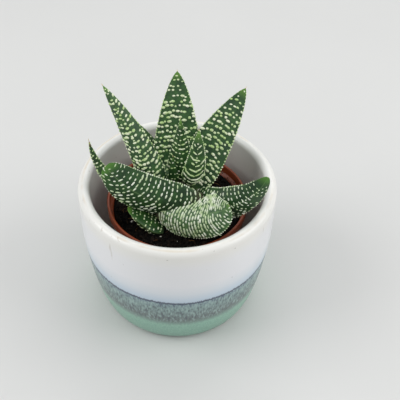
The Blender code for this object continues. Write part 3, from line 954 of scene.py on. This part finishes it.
def pearl_finish(name, green, pale):
    """Chalky bumps, greener where the leaf is young."""
    g = Finish(name)
    tint = g.noise(g.place, 420, detail=2)
    colour = g.blend(g.rise(tint, 0.35, 0.68), green, pale)
    return g.done(Base_Color=colour, Roughness=0.6, Specular_IOR_Level=0.15)


def perlite_finish():
    """Pale grey-white expanded grains."""
    g = Finish("perlite")
    tint = g.noise(g.place, 900, detail=4)
    return g.done(Base_Color=g.blend(tint, tone(196, 190, 178), tone(236, 234, 228)),
                  Roughness=0.8, Normal=g.bump(tint, 0.3))


def paper_finish():
    """Dry tan scale leaves with brown veins."""
    g = Finish("dry_scale")
    u, v, _ = g.axes(g.node("ShaderNodeUVMap", uv_map=UV_LAYER))
    veins = g.noise(g.combine(u * 40, v * 3, 0.0), 1.0, detail=3)
    colour = g.blend(g.rise(veins, 0.35, 0.7), tone(176, 140, 96), tone(205, 178, 132))
    colour = g.blend(g.rise(v, 0.4, 0.0) * 0.7, colour, tone(120, 82, 52))
    return g.done(Base_Color=colour, Roughness=0.75, Normal=g.bump(veins, 0.2))


def crown_finish():
    """The short stem: green-brown, ringed by old leaf scars, its browns darkened as painted shade from the
    leaves around it.
    """
    g = Finish("root_crown_skin")
    z = g.axes(g.place)[2] / MM
    scars = g.noise(g.vector("MULTIPLY", g.place, (1, 1, 5)), 260, detail=4)
    # The dark browns are partly the stem's own colour and partly painted shade where the leaves crowd over
    # it.
    colour = g.blend(g.rise(scars, 0.35, 0.7), tone(42, 33, 26), tone(78, 66, 50))
    colour = g.blend(g.rise(z, SOIL_TOP + 2, SOIL_TOP + 9) * 0.7, colour, tone(54, 66, 40))
    return g.done(Base_Color=colour, Roughness=0.8, Normal=g.bump(scars, 0.5))


# -------- build

piece("glazed_pot", pot_body(), ["ceramic_pot"], glaze())

nursery = smooth(drilled(nursery_body(), DRILL_DEPTH))
nursery.set_sharp_from_angle(angle=math.radians(35))
piece("nursery_pot_shell", nursery, ["nursery_pot"], nursery_plastic())

humus = soil_finish("damp_humus", tone(5, 4, 3), tone(17, 12, 8))
bark = soil_finish("bark_bits", tone(11, 8, 5), tone(38, 26, 16), rough=0.85)
perlite = perlite_finish()
coir = soil_finish("coir_fibre", tone(92, 62, 36), tone(138, 100, 62), rough=0.8)

piece("potting_mix_body", soil_body(), ["potting_mix"], humus)
surface = ground(LITTER_INNER, SOIL_HIGH.x - LITTER_EDGE)
crumbs = litter_tree("mix_crumbs", crumb)
fibres = litter_tree("mix_fibres", fibre)
LITTER = [
    ("mix_crumbs", crumbs, humus, dict(Density=1.1e6, Smallest=0.35, Largest=0.8, Flatness=0.7, Seed=3)),
    ("mix_bark", crumbs, bark, dict(Density=0.22e6, Smallest=0.5, Largest=1.25, Flatness=0.45, Seed=11)),
    ("mix_perlite", crumbs, perlite,
     dict(Density=0.016e6, Smallest=0.35, Largest=0.7, Flatness=0.8, Seed=8)),
    ("mix_fibres", fibres, coir, dict(Density=0.06e6, Smallest=1.2, Largest=3.2, Flatness=1.0, Seed=21)),
]
for name, tree, material, settings in LITTER:
    settings["Smallest"] *= MM
    settings["Largest"] *= MM
    piece(name, smooth(grown(tree, surface, Finish=material, **settings)))

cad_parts["root_crown"].data.materials[0] = crown_finish()

upright = leaf_skin("upright_leaf_skin", tone(42, 72, 46), tone(66, 108, 54), tone(106, 150, 58),
                    tone(84, 106, 56), tip_start=0.88, edge=tone(134, 168, 84))
low = leaf_skin("outer_leaf_skin", tone(22, 54, 24), tone(44, 86, 34), tone(88, 140, 50),
                tone(74, 62, 50), tip_start=0.86)
inner = leaf_skin("inner_leaf_skin", tone(30, 64, 30), tone(56, 100, 40), tone(116, 162, 66),
                  tone(44, 60, 34))
dry_tipped = leaf_skin("dry_tipped_leaf_skin", tone(22, 54, 20), tone(46, 88, 32), tone(176, 120, 82),
                       tone(60, 70, 40), tip_start=0.9)
pale = leaf_skin("pale_leaf_skin", tone(56, 88, 54), tone(92, 128, 78), tone(112, 156, 72),
                 tone(74, 62, 50), tip_start=0.9)
SKINS = {"leaf_far_left": dry_tipped, "leaf_inner_right": inner, "leaf_inner_back": inner,
         "leaf_heart": inner, "leaf_left_rear": inner, "leaf_front_left": low,
         "leaf_front_right": pale, "leaf_right_low": low, "leaf_front_stub": inner}
fresh_pearl = pearl_finish("fresh_pearls", tone(192, 220, 150), tone(248, 252, 224))
chalk_pearl = pearl_finish("chalky_pearls", tone(196, 216, 168), tone(246, 250, 234))
CHALKY = ("leaf_front_left", "leaf_front_right", "leaf_right_low")
rows = pearl_tree()
skins = {leaf.name: leaf_mesh(leaf, spine=leaf.blunt > ROUNDED) for leaf in LEAF_TABLE}
walls = {name: BVHTree.FromPolygons([v.co for v in skin.vertices], [p.vertices for p in skin.polygons])
         for name, skin in skins.items()}
for order, leaf in enumerate(LEAF_TABLE):
    skin = skins[leaf.name]
    pearl = chalk_pearl if leaf.name in CHALKY else fresh_pearl
    sets = [pearl_rows(rows, leaf, skin, pearls, 100 * order + 10 * i, pearl)
            for i, pearls in enumerate(PEARLS[leaf.name])]
    others = [wall for name, wall in walls.items() if name != leaf.name]
    pearls = joined([clear_of(mesh, walls[leaf.name], others) for mesh in sets if len(mesh.vertices)])
    piece(leaf.name + "_skin", skin, [leaf.name], SKINS.get(leaf.name, upright))
    piece(leaf.name + "_pearls", pearls)

paper = paper_finish()
for scale in SCALE_TABLE:
    piece(scale.name + "_paper", leaf_mesh(scale, spine=False), [scale.name], paper)


# -------- studio

def aimed(thing, place, target):
    """Puts a lamp or camera at a place, turned to look at the target."""
    thing.location = place
    thing.rotation_euler = (Vector(target) - Vector(place)).to_track_quat("-Z", "Y").to_euler()
    return linked(thing)


def floor_finish():
    """An even, pale grey sweep."""
    g = Finish("pale_floor")
    tint = g.noise(g.place, 6, detail=4)
    return g.done(Base_Color=g.blend(tint, tone(214, 214, 212), tone(222, 222, 220)), Roughness=0.8)


FLOOR_REACH = 40.0
floor_mesh = bpy.data.meshes.new("floor")
corners = [(x * FLOOR_REACH, y * FLOOR_REACH, 0) for x, y in ((-1, -1), (1, -1), (1, 1), (-1, 1))]
floor_mesh.from_pydata(corners, [], [(0, 1, 2, 3)])
floor_mesh.materials.append(floor_finish())
linked(bpy.data.objects.new("floor", floor_mesh))

world = bpy.data.worlds.new("studio")
world.use_nodes = True
sky = world.node_tree.nodes["Background"].inputs
sky["Color"].default_value = (0.97, 0.985, 1.0, 1)
sky["Strength"].default_value = 0.58
bpy.context.scene.world = world

Lamp = namedtuple("Lamp", "name place size power")
for lamp in (Lamp("window_light", (-0.62, -0.08, 0.6), 0.5, 2.5),
             Lamp("fill_light", (0.66, -0.1, 0.52), 0.6, 2.5),
             Lamp("back_light", (0.15, 0.6, 0.7), 0.7, 1.5)):
    light = bpy.data.lights.new(lamp.name, "AREA")
    light.shape, light.size, light.energy = "SQUARE", lamp.size, lamp.power
    aimed(bpy.data.objects.new(lamp.name, light), lamp.place, (0, 0, 0.06))

# The camera looks down on the pot from in front.
VIEW_LIFT = 43.5
VIEW_DISTANCE = 280
VIEW_TARGET = Vector((0, 0, 61.8))
lens = bpy.data.cameras.new("camera")
lens.sensor_width = 36
lens.lens = 60.8
lens.shift_x = 0.0568
lens.shift_y = -0.0422
lens.clip_start = 0.01
lift = math.radians(VIEW_LIFT)
place = VIEW_TARGET + Vector((0, -math.cos(lift), math.sin(lift))) * VIEW_DISTANCE
bpy.context.scene.camera = aimed(bpy.data.objects.new("camera", lens), place * MM, VIEW_TARGET * MM)
bpy.context.scene.view_settings.view_transform = "Standard"
